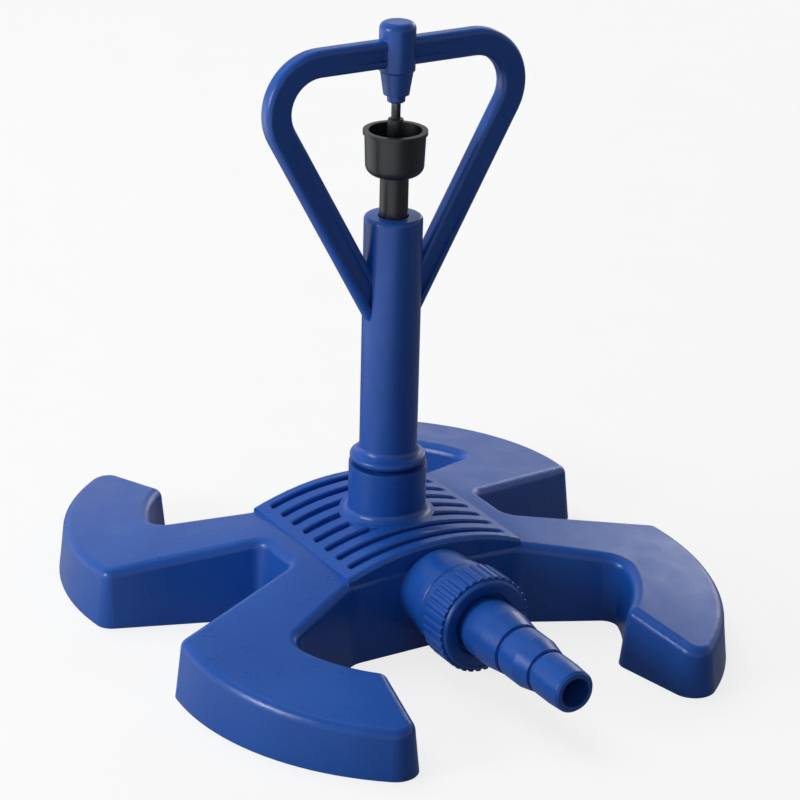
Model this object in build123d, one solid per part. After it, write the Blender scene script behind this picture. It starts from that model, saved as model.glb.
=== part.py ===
from build123d import *
from math import asin, atan2, cos, degrees, radians, sin, tan
import os

# Sled base sprinkler, millimetres, Z up.
# Origin: on the ground plane, on the axis of the upright tube.
# The hose inlet points to -Y and the bow lies in the XZ plane.

# sled base, outline at the ground
foot_arc_x = 9.8
foot_arc_y = 36.7
foot_outer_radius = 78.4
hook_arc_y = 34.0
hook_inner_radius = 48.2
side_notch_x = 41.5
side_notch_y = 7.4
arm_outer_slope = 0.357
arm_inner_slope = 0.491
deck_half_depth = 33.2
deck_corner_x = 29.7
tip_x = 40.4
tip_lean = 0.2
side_draft = 6.0
base_wall = 2.6
top_edge_round = 3.0
notch_round = 2.5
arm_corner_round = 5.5
tip_outer_round = 7.0
hook_round = 5.0
deck_corner_round = 8.0

# sled base, top surface: a flat middle that rolls over into a gentle cone
flat_height = 27.3
flat_radius = 20.0
roll_radius = 170.0
top_slope = 8.7
top_reach = 130.0

# ribbed panel, an arch across the deck
panel_crown = 33.1
panel_arch_radius = 85.7
panel_half_width = 31.0
panel_half_length = 30.2
panel_end_round = 1.5
groove_count = 8
groove_pitch = 7.05
groove_width = 2.6
groove_depth = 1.6
groove_end_margin = 2.0
groove_socket_gap = 0.8
groove_lip_round = 0.8
groove_lip_sweep = 60.0

# socket for the upright tube
socket_radius = 12.2
socket_foot_round = 2.0
socket_top = 48.4
socket_bore_radius = 8.6
socket_seat = 24.0
socket_lip = 0.6
water_radius = 4.6
rib_thickness = 2.0
rib_tilt = 42.0
rib_foot = 3.0

# inlet, distances along -Y from the tube axis
inlet_height = 17.6
inlet_pipe_radius = 8.2
neck_radius = 11.5
stop_radius = 13.9
stop_start = 40.0
stop_end = 44.6
stop_round = 0.9
thread_radius = 13.22
spigot_end = 53.3

# swivel nut
nut_radius = 15.55
nut_gap = 0.4
nut_length = 14.4
nut_hole_gap = 0.8
thread_clearance = 0.06
grip_count = 36
grip_depth = 1.0
grip_cut_radius = 0.72
grip_cut_out = 0.15
hole_lead = 0.4

# hose tail, radii of its steps and their distances along -Y
washer_thickness = 1.6
washer_bore_radius = 6.6
flange_thickness = 2.0
flange_gap = 0.62
play = 0.05
tail_radii = (9.35, 8.2, 6.9)
tail_starts = (60.0, 78.0, 93.0)
tail_end = 107.3
tail_bore_radius = 4.57
neck_relief = 0.35
step_lead = 1.4
step_flat = 0.55
step_undercut = 0.9

# upright tube, its collar and its plug
tube_radius = 9.0
tube_top = 129.4
tube_top_round = 1.2
tube_bore_radius = 5.5
mouth_radius = 4.75
mouth_lip = 3.0
collar_radius = 11.9
collar_gap = 1.1
collar_height = 2.5
collar_round = 1.1
collar_fillet = 2.4
plug_clearance = 0.05
seat_gap = 0.4
ring_section = 1.8
ring_groove_width = 2.4
ring_lift = 15.6
hair = 0.01

# rotor
pin_radius = 1.4
pin_depth = 8.0
pin_tip_round = 0.5
cup_lift = 13.0
cup_height = 13.8
lip_radius = 9.8
lip_height = 1.1
cup_radius = 9.3
cup_floor_radius = 8.8
cup_corner = 3.2
cup_wall = 1.2
stem_radius = 4.36
stem_bore_radius = 2.6
stem_length = 24.4
hub_low_radius = 4.2
hub_low_height = 6.4
hub_high_radius = 2.4
hub_high_height = 9.8
hub_round = 0.4
jet_turn = 65.3
jet_offset = 1.4
jet_width = 1.0
jet_height = 4.0
jet_wall = 1.1
jet_sill = 1.2

# bow and pivot boss
nose_lift = 8.7
nose_length = 2.4
nose_radius = 2.75
nose_top_radius = 3.9
boss_taper = 7.0
boss_waist_radius = 5.0
boss_radius = 5.5
boss_over_bar = 9.2
boss_round = 2.0
bar_lift = 15.3
bow_bend_x = 26.4
bow_bend_radius = 14.0
bow_leg_angle = 29.0
bow_width = 8.4
bow_depth = 5.6
bow_round = 1.7
channel_width = 3.6
channel_depth = 1.3
leg_channel_start = 3.0
leg_channel = 56.0
bar_channel_start = 3.0
bar_channel = 18.0
nose_round = 0.6

# bearings of the rotor and the nozzle under it
running_gap = 0.05
pivot_bush_radius = 2.2
pivot_bush_length = 12.8
pin_reach = 12.3
bush_margin = 0.2
stem_bush_lift = 2.0
thrust_washer_thickness = 0.8
thrust_washer_radius = 5.2
nozzle_height = 6.0
nozzle_radius = 1.75

# heights of the pieces that stand on each other, worked out from the sizes above
collar_bottom = socket_top + collar_gap
collar_top = collar_bottom + collar_height
plug_end = socket_seat + seat_gap
ring_height = plug_end + ring_lift
bore_top = tube_top - mouth_lip
cup_bottom = tube_top + cup_lift
cup_rim = cup_bottom + cup_height
cup_floor = cup_bottom + cup_wall
hub_low_top = cup_floor + hub_low_height
hub_top = hub_low_top + hub_high_height
pin_foot = hub_top - pin_depth
jet_floor = cup_floor + jet_sill
nose_end = cup_rim + nose_lift
bow_height = nose_end + bar_lift
boss_top = bow_height + boss_over_bar
pin_top = nose_end + pin_reach
stem_end = tube_top - stem_length

# places along the inlet, worked out in the same way
nut_start = stop_end + nut_gap
nut_end = nut_start + nut_length
washer_start = spigot_end + play
flange_start = washer_start + washer_thickness
flange_end = flange_start + flange_thickness
nut_seat = flange_end + play
nut_bore_radius = thread_radius + thread_clearance
flange_radius = thread_radius - flange_gap
nut_hole_radius = tail_radii[0] - neck_relief + nut_hole_gap

os.makedirs("parts", exist_ok=True)


def keep(shape, name, colour):
    """Name a piece and write its STEP file."""
    shape.label = name
    shape.color = Color(colour)
    export_step(shape, f"parts/{name}.step")


def post(radius, bottom, top):
    """Upright round bar between two heights on the Z axis."""
    return Pos(0, 0, bottom) * Cylinder(radius, top - bottom, align=(Align.CENTER, Align.CENTER, Align.MIN))


def ring(outer, inner, bottom, top):
    """Upright tube between two heights on the Z axis."""
    return post(outer, bottom, top) - post(inner, bottom, top)


def inlet_bar(radius, start, end):
    """Round bar on the inlet axis between two distances from the tube."""
    bar = Cylinder(radius, end - start, align=(Align.CENTER, Align.CENTER, Align.MIN))
    return Pos(0, -start, inlet_height) * Rot(90, 0, 0) * bar


def turned_z(points):
    """Solid of revolution about Z from (radius, height) points."""
    profile = make_face(Polyline(*[(r, 0, z) for r, z in points], close=True))
    return revolve(profile, Axis.Z)


def turned_inlet(points):
    """Solid of revolution about the inlet axis from (distance, radius) points."""
    profile = make_face(Polyline(*[(0, -d, inlet_height + r) for d, r in points], close=True))
    return revolve(profile, Axis((0, 0, inlet_height), (0, 1, 0)))


def circle_meets_line(cx, cy, radius, px, py, dx, dy):
    """Forward crossing of a line from (px, py) with a circle."""
    a = dx * dx + dy * dy
    b = 2 * (dx * (px - cx) + dy * (py - cy))
    c = (px - cx) ** 2 + (py - cy) ** 2 - radius ** 2
    t = (-b + (b * b - 4 * a * c) ** 0.5) / (2 * a)
    return (px + t * dx, py + t * dy)


def arc_middle(cx, cy, radius, start, end):
    """Point half way along the short arc between two points of a circle."""
    mx = (start[0] + end[0]) / 2 - cx
    my = (start[1] + end[1]) / 2 - cy
    length = (mx * mx + my * my) ** 0.5
    return (cx + mx / length * radius, cy + my / length * radius)


def rounded(face, spots):
    """Round the corners of a flat face that lie at the given spots."""
    for spot, radius in spots:
        corner = face.vertices().sort_by_distance(Vector(*spot))[0]
        face = fillet(corner, radius)
    return face


# outline of the base at the ground, one quarter mirrored twice
notch = (side_notch_x, side_notch_y)
deck_corner = (deck_corner_x, deck_half_depth)
outer_corner = circle_meets_line(foot_arc_x, foot_arc_y, foot_outer_radius, *notch, 1, arm_outer_slope)
hook_corner = circle_meets_line(foot_arc_x, hook_arc_y, hook_inner_radius, *deck_corner, 1, arm_inner_slope)
tip_inner = circle_meets_line(foot_arc_x, hook_arc_y, hook_inner_radius, tip_x, hook_arc_y, 0, 1)
tip_outer = circle_meets_line(foot_arc_x, foot_arc_y, foot_outer_radius, *tip_inner, tip_lean, 1)
outer_middle = arc_middle(foot_arc_x, foot_arc_y, foot_outer_radius, outer_corner, tip_outer)
inner_middle = arc_middle(foot_arc_x, hook_arc_y, hook_inner_radius, tip_inner, hook_corner)
quarter = Curve() + [
    Line((side_notch_x, 0), notch),
    Line(notch, outer_corner),
    ThreePointArc(outer_corner, outer_middle, tip_outer),
    Line(tip_outer, tip_inner),
    ThreePointArc(tip_inner, inner_middle, hook_corner),
    Line(hook_corner, deck_corner),
    Line(deck_corner, (0, deck_half_depth)),
    Line((0, deck_half_depth), (0, 0)),
    Line((0, 0), (side_notch_x, 0)),
]
quarter_face = rounded(make_face(quarter), [
    (notch, notch_round),
    (outer_corner, arm_corner_round),
    (tip_outer, tip_outer_round),
    (tip_inner, hook_round),
    (hook_corner, hook_round),
    (deck_corner, deck_corner_round),
])
half_face = quarter_face + mirror(quarter_face, Plane.YZ)
base_face = half_face + mirror(half_face, Plane.XZ)


# section of the top surface, from the axis outwards
slope = radians(top_slope)
roll_end = (flat_radius + roll_radius * sin(slope), flat_height - roll_radius * (1 - cos(slope)))
roll_middle = (flat_radius + roll_radius * sin(slope / 2), flat_height - roll_radius * (1 - cos(slope / 2)))
rim_height = roll_end[1] - (top_reach - roll_end[0]) * tan(slope)


def top_solid(drop):
    """Everything under the top surface of the base, lowered by drop."""
    edge = Curve() + [
        Line((0, 0, flat_height - drop), (flat_radius, 0, flat_height - drop)),
        ThreePointArc(
            (flat_radius, 0, flat_height - drop),
            (roll_middle[0], 0, roll_middle[1] - drop),
            (roll_end[0], 0, roll_end[1] - drop),
        ),
        Line((roll_end[0], 0, roll_end[1] - drop), (top_reach, 0, rim_height - drop)),
        Line((top_reach, 0, rim_height - drop), (top_reach, 0, -1)),
        Line((top_reach, 0, -1), (0, 0, -1)),
        Line((0, 0, -1), (0, 0, flat_height - drop)),
    ]
    return revolve(make_face(edge), Axis.Z)


def drafted(face, height):
    """Block over a flat face whose walls lean inwards by the side draft."""
    return extrude(face, height, taper=side_draft)


def arch(radius, half_length):
    """Round bar along Y whose top is the arch of the panel at that radius."""
    bar = Cylinder(radius, 2 * half_length)
    return Pos(0, 0, panel_crown - panel_arch_radius) * Rot(90, 0, 0) * bar


# skin of the base with its rounded top edges, and the blocks for the hollow and the ribs inside it
inner_block = drafted(offset(base_face, -base_wall, kind=Kind.INTERSECTION), panel_crown)
skin_block = drafted(offset(base_face, -base_wall / 2, kind=Kind.INTERSECTION), panel_crown)
base = drafted(base_face, panel_crown) & top_solid(0)
top_middle = base.faces().filter_by(lambda face: face.normal_at().Z > 0.9)
rim_edges = [edge for face in top_middle for edge in face.edges()]
outer_rim = [edge for edge in rim_edges if sum(edge.is_same(other) for other in rim_edges) == 1]
base = fillet(outer_rim, top_edge_round)

# ribbed panel with rounded ends
panel_foot = rim_height
panel_box = Box(2 * panel_half_width, 4 * deck_half_depth, 2 * panel_crown)
panel = arch(panel_arch_radius, panel_half_length) & (Pos(0, 0, panel_foot + panel_crown) * panel_box)
panel_ends = [edge for edge in panel.edges() if edge.length > panel_half_width and edge.center().Z > flat_height]
panel = fillet([edge for edge in panel_ends if abs(edge.center().Y) > panel_half_length - hair], panel_end_round)
base += panel

# socket on the panel, rounded out at its foot
base += post(socket_radius, 0, socket_top)


def distance_out(point):
    """Distance of a point from the tube axis."""
    return (point.X ** 2 + point.Y ** 2) ** 0.5


def on_arch(point):
    """True for a point of the panel's arched surface."""
    arch_centre = panel_crown - panel_arch_radius
    return abs((point.X ** 2 + (point.Z - arch_centre) ** 2) ** 0.5 - panel_arch_radius) < hair


base = fillet([
    edge for edge in base.edges()
    if all(on_arch(point) and abs(distance_out(point) - socket_radius) < hair for point in (edge @ 0, edge @ 0.5))
], socket_foot_round)


def half_groove_section():
    """Half of a groove's section at the crown, from its middle out to its rounded lip."""
    wall = groove_width / 2
    lip = groove_lip_round
    flare = radians(groove_lip_sweep)

    def spot(out, up):
        return (0, out, panel_crown + up)

    def on_lip(angle):
        return spot(wall + lip * (1 - cos(angle)), lip * (sin(angle) - 1))

    rise = 1 + lip * (1 - sin(flare))
    mouth = spot(wall + lip * (1 - cos(flare)) + rise * tan(flare), 1)
    return make_face(Curve() + [
        Line(spot(0, -groove_depth), spot(wall, -groove_depth)),
        Line(spot(wall, -groove_depth), on_lip(0)),
        ThreePointArc(on_lip(0), on_lip(flare / 2), on_lip(flare)),
        Line(on_lip(flare), mouth),
        Line(mouth, spot(0, 1)),
        Line(spot(0, 1), spot(0, -groove_depth)),
    ])


def around_arch(angle, shape):
    """Turn a shape about the axis of the arch."""
    arch_centre = panel_crown - panel_arch_radius
    return Pos(0, 0, arch_centre) * Rot(0, angle, 0) * Pos(0, 0, -arch_centre) * shape


# one groove about the arch's axis with its two round ends, then a row of them, clear of the socket's foot
arch_axis = Axis((0, 0, panel_crown - panel_arch_radius), (0, 1, 0))
groove_angle = degrees(asin((panel_half_width - groove_end_margin - groove_width) / panel_arch_radius))
half_section = half_groove_section()
groove_section = half_section + mirror(half_section, Plane.XZ)
groove_end = revolve(half_section, Axis.Z)
groove = around_arch(-groove_angle, revolve(groove_section, arch_axis, 2 * groove_angle))
groove += [around_arch(-groove_angle, groove_end), around_arch(groove_angle, groove_end)]
foot_reach = socket_radius + socket_foot_round + groove_socket_gap
for index in range(groove_count):
    y = (index - (groove_count - 1) / 2) * groove_pitch
    base -= Pos(0, y, 0) * groove - post(foot_reach, 0, 2 * panel_crown)

# hollow underneath, a wall's thickness inside the skin
inner_arch = arch(panel_arch_radius - groove_depth - base_wall, panel_half_length - base_wall)
base -= inner_block & (top_solid(base_wall) + inner_arch)

# ribs, post and pipe under the deck, all kept inside the skin
skin_arch = arch(panel_arch_radius - groove_depth - base_wall / 2, panel_half_length - base_wall)
skin = skin_block & (top_solid(base_wall / 2) + skin_arch)
ribs = Part()
for angle in (0, 90, rib_tilt, -rib_tilt):
    rib = Box(2 * top_reach, rib_thickness, panel_crown, align=(Align.CENTER, Align.CENTER, Align.MIN))
    ribs += Rot(0, 0, angle) * Pos(0, 0, rib_foot) * rib
base += ribs & skin
base += post(socket_radius, 0, socket_seat)
base += inlet_bar(inlet_pipe_radius, 0, deck_half_depth - base_wall / 2)

# neck, stop and male thread of the inlet
neck_start = deck_half_depth - base_wall
base += inlet_bar(neck_radius, neck_start, stop_start + stop_round)
stop = inlet_bar(stop_radius, stop_start, stop_end)
base += fillet(stop.edges().filter_by(GeomType.CIRCLE), stop_round)
base += inlet_bar(thread_radius, neck_start, spigot_end)
base -= post(socket_bore_radius, socket_seat, socket_top + 1)
base -= post(water_radius, inlet_height, socket_top)
base -= inlet_bar(water_radius, 0, spigot_end + 1)
keep(base, "sled_base", "#1d4fa8")

# upright tube with collar, plug and groove for the seal ring
plug_radius = socket_bore_radius - plug_clearance
seal_outer = socket_bore_radius - hair
seal_middle = seal_outer - ring_section / 2
seal_groove = seal_outer - ring_section - hair


def circle_edges(shape, radius, height):
    """Round edges of a shape with a given radius, at a given height."""
    round_edges = shape.edges().filter_by(GeomType.CIRCLE)
    return round_edges.filter_by(
        lambda edge: abs(edge.radius - radius) < hair and abs(edge.center().Z - height) < hair
    )


tower = post(tube_radius, collar_bottom, tube_top)
tower += post(collar_radius, collar_bottom, collar_top)
tower = fillet(circle_edges(tower, tube_radius, collar_top), collar_fillet)
tower = fillet(circle_edges(tower, tube_radius, tube_top), tube_top_round)
for height in (collar_bottom, collar_top):
    tower = fillet(circle_edges(tower, collar_radius, height), collar_round)
tower += post(plug_radius, plug_end, collar_bottom + collar_round)

# bow, one leg with its bend and half of the bar, mirrored
leg_angle = radians(bow_leg_angle)
leg_direction = Vector(sin(leg_angle), 0, cos(leg_angle))
bend_centre = Vector(bow_bend_x, 0, bow_height - bow_bend_radius)
leg_top = bend_centre + Vector(cos(leg_angle), 0, -sin(leg_angle)) * bow_bend_radius
leg_length = (leg_top.X - tube_radius / 2) / leg_direction.X
leg_foot = leg_top - leg_direction * leg_length
half_bend = (radians(90) - leg_angle) / 2
bend_middle = bend_centre + Vector(cos(half_bend), 0, sin(half_bend)) * bow_bend_radius
bar_start = bend_centre + Vector(0, 0, bow_bend_radius)
bow_path = Curve() + [
    Line(leg_foot, leg_top),
    ThreePointArc(leg_top, bend_middle, bar_start),
    Line(bar_start, (0, 0, bow_height)),
]
leg_plane = Plane(origin=leg_foot, x_dir=(0, 1, 0), z_dir=leg_direction)
half_bow = sweep(leg_plane * RectangleRounded(bow_depth, bow_width, bow_round), path=bow_path)


def channel(start, direction, length, side):
    """Wedge-shaped channel in one face of the bow, deepest at its start."""
    lane = Plane(origin=start, x_dir=direction, z_dir=(0, side, 0))
    tilt = Rot(0, -degrees(atan2(channel_depth, length)), 0)
    slot = tilt * extrude(Pos(length / 2, 0, 0) * SlotOverall(length, channel_width), bow_depth)
    return lane * (Pos(0, 0, bow_depth / 2 - channel_depth) * slot)


for side in (-1, 1):
    half_bow -= channel(leg_foot + leg_direction * leg_channel_start, leg_direction, leg_channel, side)
    half_bow -= channel((bar_channel_start, 0, bow_height), (1, 0, 0), bar_channel, side)
tower += half_bow
tower += mirror(half_bow, Plane.YZ)

# pivot boss with its nose
nose_top = nose_end + nose_length
boss_waist = nose_top + boss_taper
boss = turned_z([
    (0, nose_end),
    (nose_radius, nose_end),
    (nose_radius, nose_top),
    (nose_top_radius, nose_top),
    (boss_waist_radius, boss_waist),
    (boss_radius, boss_waist + boss_radius - boss_waist_radius),
    (boss_radius, boss_top),
    (0, boss_top),
])
boss = fillet(boss.edges().group_by(Axis.Z)[-1], boss_round)
boss = fillet(boss.edges().group_by(Axis.Z)[0], nose_round)
tower += boss

tower -= post(tube_bore_radius, plug_end - 1, bore_top)
tower -= post(mouth_radius, bore_top - 1, tube_top + 1)
tower -= post(pivot_bush_radius, nose_end - 1, nose_end + pivot_bush_length + 2 * bush_margin)
half_ring = ring_groove_width / 2
tower -= ring(socket_bore_radius + 1, seal_groove, ring_height - half_ring, ring_height + half_ring)
keep(tower, "riser_tower", "#1d4fa8")

seal = Pos(0, 0, ring_height) * Torus(seal_middle, ring_section / 2)
keep(seal, "riser_seal_ring", "#1a1a1a")

# bearings and nozzle inside the tube
washer_top = stem_end - running_gap
washer_foot = washer_top - thrust_washer_thickness
stem_bush = ring(tube_bore_radius - hair, stem_radius + running_gap, stem_end + stem_bush_lift, bore_top)
keep(stem_bush, "stem_bush", "#e8e4d8")
thrust_washer = ring(thrust_washer_radius, stem_bore_radius, washer_foot, washer_top)
keep(thrust_washer, "thrust_washer", "#c9b26a")
nozzle = turned_z([
    (nozzle_radius, washer_foot),
    (tube_bore_radius - hair, washer_foot),
    (tube_bore_radius - hair, washer_foot - nozzle_height),
    (tube_bore_radius - 1, washer_foot - nozzle_height),
    (nozzle_radius, washer_foot - nozzle_height / 2),
])
keep(nozzle, "jet_nozzle", "#202124")
bush_foot = nose_end + bush_margin
pivot_bush = ring(pivot_bush_radius - hair, pin_radius + running_gap, bush_foot, bush_foot + pivot_bush_length)
keep(pivot_bush, "pivot_bush", "#c9a24a")

# rotor, cup and hollow stem in one moulding
inner_floor_radius = cup_floor_radius - cup_wall
rotor = turned_z([
    (stem_bore_radius, stem_end),
    (stem_radius, stem_end),
    (stem_radius, cup_bottom),
    (cup_floor_radius, cup_bottom),
    (cup_radius, cup_rim - lip_height),
    (lip_radius, cup_rim - lip_height),
    (lip_radius, cup_rim),
    (cup_radius - cup_wall, cup_rim),
    (inner_floor_radius, cup_floor),
    (hub_low_radius, cup_floor),
    (hub_low_radius, hub_low_top),
    (hub_high_radius, hub_low_top),
    (hub_high_radius, hub_top),
    (0, hub_top),
    (0, jet_floor + jet_height),
    (stem_bore_radius, jet_floor + jet_height),
])
rotor = fillet(circle_edges(rotor, cup_floor_radius, cup_bottom), cup_corner)
rotor = fillet(circle_edges(rotor, inner_floor_radius, cup_floor), cup_corner - cup_wall)
rotor = fillet(circle_edges(rotor, hub_high_radius, hub_top), hub_round)


def jet_box(near, far, width, bottom, top):
    """Box along the jet direction, beside the rotor axis."""
    box = Box(far - near, width, top - bottom, align=(Align.MIN, Align.CENTER, Align.MIN))
    return Rot(0, 0, jet_turn) * (Pos(near, jet_offset, bottom) * box)


duct = jet_box(0, cup_radius - cup_wall / 2, jet_width + 2 * jet_wall, cup_floor - cup_wall / 2, hub_low_top)
rotor += duct - post(stem_bore_radius, 0, jet_floor)
rotor -= jet_box(0, 2 * lip_radius, jet_width, jet_floor, jet_floor + jet_height)
rotor -= post(pin_radius, pin_foot, hub_top + 1)
keep(rotor, "rotor", "#232629")

pin = post(pin_radius, pin_foot, pin_top)
pin = fillet(pin.edges().group_by(Axis.Z)[-1], pin_tip_round)
keep(pin, "spindle_pin", "#2b2e31")

# coupling nut, its hole for the tail and its grip
nut_body = nut_radius - grip_depth
grip_start = nut_start + 3.2
grip_end = nut_end - 1.2
nut = turned_inlet([
    (nut_start, nut_bore_radius),
    (nut_start, nut_body - 0.6),
    (nut_start + 0.6, nut_body),
    (grip_start, nut_body),
    (grip_end, nut_body),
    (nut_end - 0.4, nut_body - 0.2),
    (nut_end, nut_body - 0.7),
    (nut_end, nut_body - 1.6),
    (nut_end - 0.8, nut_hole_radius + hole_lead),
    (nut_end - 1.2, nut_hole_radius),
    (nut_seat, nut_hole_radius),
    (nut_seat, nut_bore_radius),
])
grip_sketch = Circle(nut_radius) - Circle(nut_body - 0.2)
grip_sketch -= PolarLocations(nut_radius + grip_cut_out, grip_count) * Circle(grip_cut_radius)
grip = extrude(grip_sketch, grip_end - grip_start)
nut += Pos(0, -grip_start, inlet_height) * Rot(90, 0, 0) * grip
keep(nut, "coupling_nut", "#1d4fa8")

washer = turned_inlet([
    (washer_start, washer_bore_radius),
    (washer_start, flange_radius),
    (flange_start, flange_radius),
    (flange_start, washer_bore_radius),
])
keep(washer, "hose_washer", "#2a2a2a")

# hose tail, a flange with three steps, each for a wider hose
tail_neck = tail_radii[0] - neck_relief
tail_points = [
    (flange_start, tail_bore_radius),
    (flange_start, flange_radius),
    (flange_end, flange_radius),
    (flange_end, tail_neck),
    (tail_starts[0], tail_neck),
]
step_ends = tail_starts[1:] + (tail_end,)
for start, end, radius in zip(tail_starts, step_ends, tail_radii):
    if start > tail_starts[0]:
        tail_points.append((start - 0.6, radius - step_undercut))
        tail_points.append((start, radius - step_undercut))
        tail_points.append((start + step_lead / 3, radius - step_undercut / 4))
    tail_points.append((start + step_lead, radius))
    tail_points.append((start + step_flat * (end - start), radius))
    if end < tail_end:
        tail_points.append((end - 0.9, tail_radii[tail_radii.index(radius) + 1] + 0.1))
tail_points.append((tail_end - 0.9, tail_radii[-1] - neck_relief))
tail_points.append((tail_end, tail_radii[-1] - 3 * neck_relief))
tail_points.append((tail_end, tail_bore_radius))
tail = turned_inlet(tail_points)
keep(tail, "hose_tail", "#1d4fa8")
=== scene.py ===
import math

import bpy
from mathutils import Matrix, Vector


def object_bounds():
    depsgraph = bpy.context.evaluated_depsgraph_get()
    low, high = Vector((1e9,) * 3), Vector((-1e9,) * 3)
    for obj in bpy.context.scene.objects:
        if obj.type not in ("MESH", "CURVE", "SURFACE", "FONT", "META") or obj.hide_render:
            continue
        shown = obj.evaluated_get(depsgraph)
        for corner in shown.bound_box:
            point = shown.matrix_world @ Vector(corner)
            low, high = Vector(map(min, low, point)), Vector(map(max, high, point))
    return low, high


# A garden sprinkler on a sled base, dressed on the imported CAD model, in metres.

MM = 0.001

# the photograph's camera, fitted to the object: angles in degrees, distance in metres
VIEW_AZIMUTH = -31.356
VIEW_ELEVATION = 22.697
VIEW_ROLL = 1.438
VIEW_TARGET = Vector((2.862, -1.744, 69.10)) * MM
VIEW_DISTANCE = 0.9175
LENS = 133.70
SENSOR = 36.0
CLIP_START = 0.05

# colours, sRGB
WHITE = "#ffffff"
BLUE_PLASTIC = "#174ca2"
BLUE_FLOW = "#1d54ab"
BLACK_PLASTIC = "#1c2025"
BLACK_FLOW = "#24282d"
RUBBER = "#17181a"
RUBBER_BLOOM = "#222427"
ACETAL = "#e4e0d6"
ACETAL_SHADE = "#d9d4c8"
BRASS = "#c9a456"
BRASS_DULL = "#b08c44"
DARK_STEEL = "#4a4d51"
STEEL_BLACKED = "#2c2e31"
PAPER = "#eceef1"
PAPER_FIBRE = "#f7f8fa"
PAPER_BOUNCE = "#8a8c90"

# moulded plastic: pattern sizes and bump depths in millimetres, the stretch of the flow marks, and the gloss
FLOW_SIZE = 26.0
FLOW_STRETCH = (1.0, 1.0, 0.45)
SMUDGE_SIZE = 9.0
SMUDGE_SMOOTHER = 0.05
SMUDGE_ROUGHER = 0.07
WAVE_SIZE = 7.0
WAVE_DEPTH = 0.05
GRAIN_SIZE = 0.6
GRAIN_DEPTH = 0.006
EDGE_SAMPLES = 6
PLASTIC_IOR = 1.49
PLASTIC_SPECULAR = 0.4

# rubber: the same, with the roughness where the bloom is thin and where it is thick
BLOOM_SIZE = 2.5
BLOOM_ROUGHNESS = (0.62, 0.8)
RUBBER_GRAIN_SIZE = 0.4
RUBBER_GRAIN_DEPTH = 0.01
RUBBER_IOR = 1.52

# turned pieces: how slowly the tool's rings wander, and how patchy the surface is
WANDER_SIZE = 6.0
TARNISH_SIZE = 3.0
TARNISH_SMOOTHER = 0.04
TARNISH_ROUGHER = 0.1
ACETAL_IOR = 1.48

# lamps: place, side of the square, power, and whether reflections show it
LAMPS = {
    "key": ((-1.1, 0.1, 0.42), 0.4, 8.0, True),
    "top": ((-0.15, 0.7, 1.3), 1.1, 13.0, False),
    "front": ((-0.5, -1.2, 0.7), 0.9, 1.2, False),
    "rim": ((1.1, 0.7, 0.5), 0.5, 2.0, True),
}
LAMP_AIM = Vector((0, 0, 0.06))

# brightness of the white room: as light on the object, and to the camera
ROOM_STRENGTH = 0.14
SEEN_STRENGTH = 0.99

# the room in reflections: strengths low and high up, and the heights between which one turns into the other
HORIZON_STRENGTH = 0.8
OVERHEAD_STRENGTH = 0.22
HORIZON_TOP = 0.25
OVERHEAD_START = 0.75

# the floor: its half side, its fibre in millimetres, and how much of what the camera sees of it is its own glow
FLOOR_HALF = 4.0
FIBRE_SIZE = 30.0
GLOW_SHARE = 0.8

# the floor in reflections: a white card, the x range in millimetres over which it ends, and the floor beyond
CARD_STRENGTH = 1.7
CARD_EDGE = (-220.0, -60.0)
FLOOR_MIRRORED = 0.2

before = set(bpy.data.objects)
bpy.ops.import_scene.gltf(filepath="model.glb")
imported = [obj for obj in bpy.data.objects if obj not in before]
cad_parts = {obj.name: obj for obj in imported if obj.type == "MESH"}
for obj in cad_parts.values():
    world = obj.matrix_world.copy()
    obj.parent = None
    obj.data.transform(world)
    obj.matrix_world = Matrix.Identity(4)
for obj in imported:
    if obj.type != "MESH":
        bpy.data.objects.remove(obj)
cad_low, cad_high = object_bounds()


def linear(code):
    """Linear colour with alpha from an sRGB hex code."""
    parts = [int(code[i:i + 2], 16) / 255 for i in (1, 3, 5)]
    return tuple(v / 12.92 if v <= 0.04045 else ((v + 0.055) / 1.055) ** 2.4 for v in parts) + (1.0,)


def node(tree, kind, inputs=None, **settings):
    """Add a node, set its properties, and set or link its inputs."""
    made = tree.nodes.new("ShaderNode" + kind)
    for name, value in settings.items():
        setattr(made, name, value)
    for key, value in (inputs or {}).items():
        if isinstance(value, bpy.types.NodeSocket):
            tree.links.new(value, made.inputs[key])
        else:
            made.inputs[key].default_value = value
    return made


def new_material(name):
    """Empty node material, its tree, and the object's own place in millimetres as a socket."""
    material = bpy.data.materials.new(name)
    material.use_nodes = True
    tree = material.node_tree
    tree.nodes.clear()
    place = node(tree, "TexCoord").outputs["Object"]
    scaled = node(tree, "VectorMath", {0: place, "Scale": 1 / MM}, operation="SCALE")
    return material, tree, scaled.outputs["Vector"]


def pattern(tree, place, size, detail=2.0, rough=0.5):
    """Noise whose lumps are about size millimetres across, from 0 to 1."""
    made = node(tree, "TexNoise", {"Vector": place, "Scale": 1 / size, "Detail": detail, "Roughness": rough})
    return made.outputs["Fac"]


def spread(tree, value, low, high, start=0.3, end=0.7):
    """Value from start to end mapped to low to high, held at both."""
    made = node(tree, "MapRange", {"Value": value, "From Min": start, "From Max": end, "To Min": low, "To Max": high})
    return made.outputs["Result"]


def blend(tree, factor, first, second):
    """Colour between two, by a factor."""
    made = node(tree, "Mix", {0: factor, 6: first, 7: second}, data_type="RGBA")
    return made.outputs[2]


def bumped(tree, height, depth, normal=None):
    """Normal bumped by a height from 0 to 1 that is depth millimetres deep."""
    inputs = {"Height": height, "Distance": depth * MM, "Strength": 1.0}
    if normal is not None:
        inputs["Normal"] = normal
    return node(tree, "Bump", inputs).outputs["Normal"]


def finish_material(material, tree, shader):
    """Link a shader to the material's output."""
    node(tree, "OutputMaterial", {"Surface": shader.outputs[0]})
    return material


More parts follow.
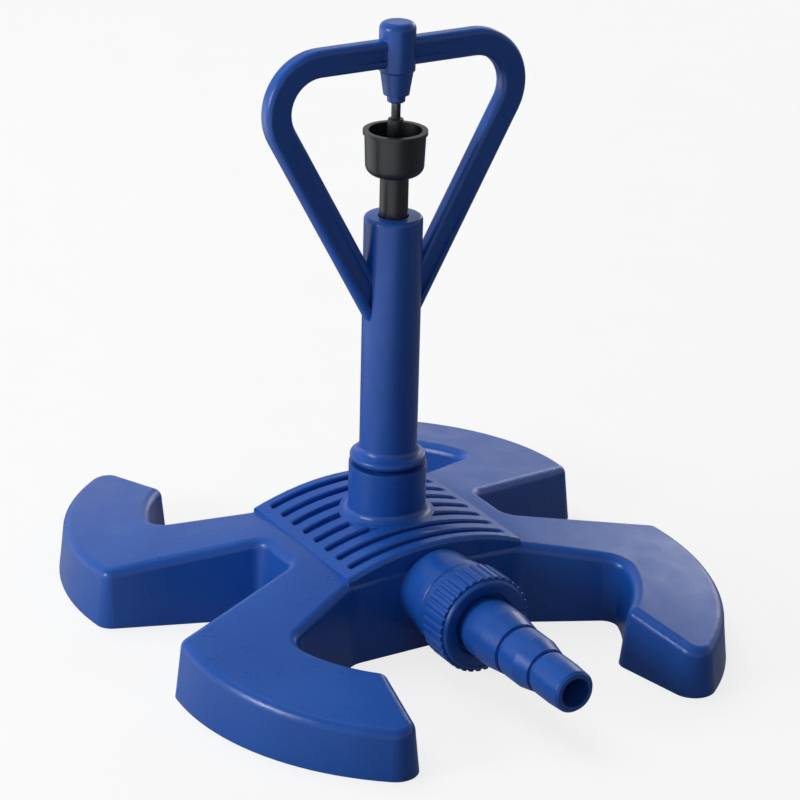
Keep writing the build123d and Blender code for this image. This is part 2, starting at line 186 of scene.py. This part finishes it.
def moulded(name, colour, flow_colour, roughness, edge_round):
    """Injection-moulded plastic: flow marks in the colour, a waxy satin skin, softly rounded edges."""
    material, tree, place = new_material(name)
    # pigment streaks where the melt flowed, a few centimetres long and barely lighter
    stretched = node(tree, "VectorMath", {0: place, 1: FLOW_STRETCH}, operation="MULTIPLY").outputs["Vector"]
    flow = pattern(tree, stretched, FLOW_SIZE, detail=3.0)
    colour_now = blend(tree, spread(tree, flow, 0.0, 1.0), linear(colour), linear(flow_colour))
    # smudges and rubbed places, about a centimetre across, change the gloss
    smudges = pattern(tree, place, SMUDGE_SIZE, detail=4.0, rough=0.6)
    gloss = spread(tree, smudges, roughness - SMUDGE_SMOOTHER, roughness + SMUDGE_ROUGHER)
    # the mould's edges have a small radius, which catches a thin line of light
    soft_edge = node(tree, "Bevel", {"Radius": edge_round * MM}, samples=EDGE_SAMPLES).outputs["Normal"]
    # slight waviness from shrinkage, and the mould's fine grain, drawn coarser than it is so that it shows
    wavy = bumped(tree, pattern(tree, place, WAVE_SIZE), WAVE_DEPTH, soft_edge)
    grain = bumped(tree, pattern(tree, place, GRAIN_SIZE, detail=1.0), GRAIN_DEPTH, wavy)
    shader = node(tree, "BsdfPrincipled", {
        "Base Color": colour_now,
        "Roughness": gloss,
        "IOR": PLASTIC_IOR,
        "Specular IOR Level": PLASTIC_SPECULAR,
        "Normal": grain,
    })
    return finish_material(material, tree, shader)


def rubber(name):
    """Moulded nitrile rubber: matt, with a faint grey bloom."""
    material, tree, place = new_material(name)
    bloom = spread(tree, pattern(tree, place, BLOOM_SIZE, detail=3.0), 0.0, 1.0)
    shader = node(tree, "BsdfPrincipled", {
        "Base Color": blend(tree, bloom, linear(RUBBER), linear(RUBBER_BLOOM)),
        "Roughness": spread(tree, bloom, *BLOOM_ROUGHNESS, 0.0, 1.0),
        "IOR": RUBBER_IOR,
        "Normal": bumped(tree, pattern(tree, place, RUBBER_GRAIN_SIZE), RUBBER_GRAIN_DEPTH),
    })
    return finish_material(material, tree, shader)


def turned(name, colour, shade, metallic, roughness, axis, pitch, depth):
    """Turned piece: fine rings from the tool along its axis, and random patches of a slightly dulled colour."""
    material, tree, place = new_material(name)
    along = node(tree, "SeparateXYZ", {0: place}).outputs[axis]
    wander = node(tree, "Math", {0: pattern(tree, place, WANDER_SIZE), 1: pitch}, operation="MULTIPLY").outputs[0]
    turns = node(tree, "Math", {0: along, 1: wander}, operation="ADD").outputs[0]
    phase = node(tree, "Math", {0: turns, 1: 2 * math.pi / pitch}, operation="MULTIPLY").outputs[0]
    rings = spread(tree, node(tree, "Math", {0: phase}, operation="SINE").outputs[0], 0.0, 1.0, -1.0, 1.0)
    tarnish = spread(tree, pattern(tree, place, TARNISH_SIZE, detail=3.0), 0.0, 1.0)
    smoothest = roughness - TARNISH_SMOOTHER
    roughest = roughness + TARNISH_ROUGHER
    inputs = {
        "Base Color": blend(tree, tarnish, linear(colour), linear(shade)),
        "Metallic": metallic,
        "Roughness": spread(tree, tarnish, smoothest, roughest, 0.0, 1.0),
        "Normal": bumped(tree, rings, depth),
    }
    if not metallic:
        inputs["IOR"] = ACETAL_IOR
    return finish_material(material, tree, node(tree, "BsdfPrincipled", inputs))


blue = moulded("moulded_blue_polypropylene", BLUE_PLASTIC, BLUE_FLOW, 0.3, 0.35)
black = moulded("moulded_black_acetal", BLACK_PLASTIC, BLACK_FLOW, 0.34, 0.2)
nitrile = rubber("moulded_black_rubber")
acetal = turned("turned_white_acetal", ACETAL, ACETAL_SHADE, 0.0, 0.38, 2, 0.12, 0.004)
brass = turned("turned_brass", BRASS, BRASS_DULL, 1.0, 0.26, 2, 0.1, 0.003)
steel = turned("ground_blacked_steel", DARK_STEEL, STEEL_BLACKED, 1.0, 0.3, 2, 0.08, 0.002)

finishes = {
    "sled_base": blue,
    "riser_tower": blue,
    "coupling_nut": blue,
    "hose_tail": blue,
    "rotor": black,
    "jet_nozzle": black,
    "riser_seal_ring": nitrile,
    "hose_washer": nitrile,
    "stem_bush": acetal,
    "thrust_washer": acetal,
    "pivot_bush": brass,
    "spindle_pin": steel,
}
for name, material in finishes.items():
    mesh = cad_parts[name].data
    mesh.materials.clear()
    mesh.materials.append(material)


def area_light(name, place, size, power, reflected):
    """Square lamp at a place, turned to the middle of the base."""
    lamp = bpy.data.lights.new(name, "AREA")
    lamp.shape = "SQUARE"
    lamp.size = size
    lamp.energy = power
    holder = bpy.data.objects.new(name, lamp)
    bpy.context.scene.collection.objects.link(holder)
    holder.location = place
    holder.rotation_mode = "QUATERNION"
    holder.rotation_quaternion = (LAMP_AIM - Vector(place)).to_track_quat("-Z", "Y")
    holder.visible_glossy = reflected


for name, (place, size, power, reflected) in LAMPS.items():
    area_light(name, place, size, power, reflected)

# pale floor: nearly white to the camera, with the object's soft shadow left in it, and a grey bounce onto the
# object; reflections see a white card that lies on it, to the left
floor_material, floor_tree, floor_place = new_material("matt_white_paper_sweep")
floor_ray = node(floor_tree, "LightPath").outputs
camera_ray = floor_ray["Is Camera Ray"]
glossy_ray = floor_ray["Is Glossy Ray"]
fibre = pattern(floor_tree, floor_place, FIBRE_SIZE)
paper = node(floor_tree, "BsdfDiffuse", {"Color": blend(floor_tree, fibre, linear(PAPER), linear(PAPER_FIBRE))})
glow = node(floor_tree, "Emission", {"Color": linear(WHITE), "Strength": SEEN_STRENGTH})
seen = node(floor_tree, "MixShader", {0: GLOW_SHARE, 1: paper.outputs[0], 2: glow.outputs[0]})
bounce = node(floor_tree, "BsdfDiffuse", {"Color": linear(PAPER_BOUNCE)})
across = node(floor_tree, "SeparateXYZ", {0: floor_place}).outputs["X"]
card = spread(floor_tree, across, CARD_STRENGTH, FLOOR_MIRRORED, *CARD_EDGE)
reflected_floor = node(floor_tree, "Emission", {"Color": linear(WHITE), "Strength": card})
hidden = node(floor_tree, "MixShader", {0: glossy_ray, 1: bounce.outputs[0], 2: reflected_floor.outputs[0]})
both = node(floor_tree, "MixShader", {0: camera_ray, 1: hidden.outputs[0], 2: seen.outputs[0]})
finish_material(floor_material, floor_tree, both)
floor_corners = [(x * FLOOR_HALF, y * FLOOR_HALF, 0) for x, y in ((-1, -1), (1, -1), (1, 1), (-1, 1))]
floor_mesh = bpy.data.meshes.new("floor")
floor_mesh.from_pydata(floor_corners, [], [(0, 1, 2, 3)])
floor = bpy.data.objects.new("floor", floor_mesh)
floor.location.z = cad_low.z
bpy.context.scene.collection.objects.link(floor)
floor_mesh.materials.append(floor_material)

# white room: plain white to the camera, bright at the horizon in reflections, dimmer as light on the object
world = bpy.data.worlds.new("studio")
bpy.context.scene.world = world
world.use_nodes = True
sky = world.node_tree
sky.nodes.clear()
ray = node(sky, "LightPath").outputs
up = node(sky, "SeparateXYZ", {0: node(sky, "TexCoord").outputs["Generated"]}).outputs["Z"]
reflection = spread(sky, up, HORIZON_STRENGTH, OVERHEAD_STRENGTH, HORIZON_TOP, OVERHEAD_START)
mirrored = node(sky, "Math", {0: ray["Is Glossy Ray"], 1: ray["Is Transmission Ray"]}, operation="MAXIMUM").outputs[0]
strength = node(sky, "Mix", {0: mirrored, 2: ROOM_STRENGTH, 3: reflection}, data_type="FLOAT").outputs[0]
strength = node(sky, "Mix", {0: ray["Is Camera Ray"], 2: strength, 3: SEEN_STRENGTH}, data_type="FLOAT").outputs[0]
background = node(sky, "Background", {"Color": linear(WHITE), "Strength": strength})
node(sky, "OutputWorld", {"Surface": background.outputs[0]})

# camera
azimuth, elevation, roll = (math.radians(v) for v in (VIEW_AZIMUTH, VIEW_ELEVATION, VIEW_ROLL))
level = math.cos(elevation)
back = Vector((math.sin(azimuth) * level, -math.cos(azimuth) * level, math.sin(elevation)))
lens = bpy.data.cameras.new("camera")
lens.lens = LENS
lens.sensor_width = SENSOR
lens.clip_start = CLIP_START
camera = bpy.data.objects.new("camera", lens)
bpy.context.scene.collection.objects.link(camera)
turn = (-back).to_track_quat("-Z", "Y").to_matrix().to_4x4() @ Matrix.Rotation(roll, 4, "Z")
camera.matrix_world = Matrix.Translation(VIEW_TARGET + back * VIEW_DISTANCE) @ turn
bpy.context.scene.camera = camera
bpy.context.scene.view_settings.view_transform = "Standard"
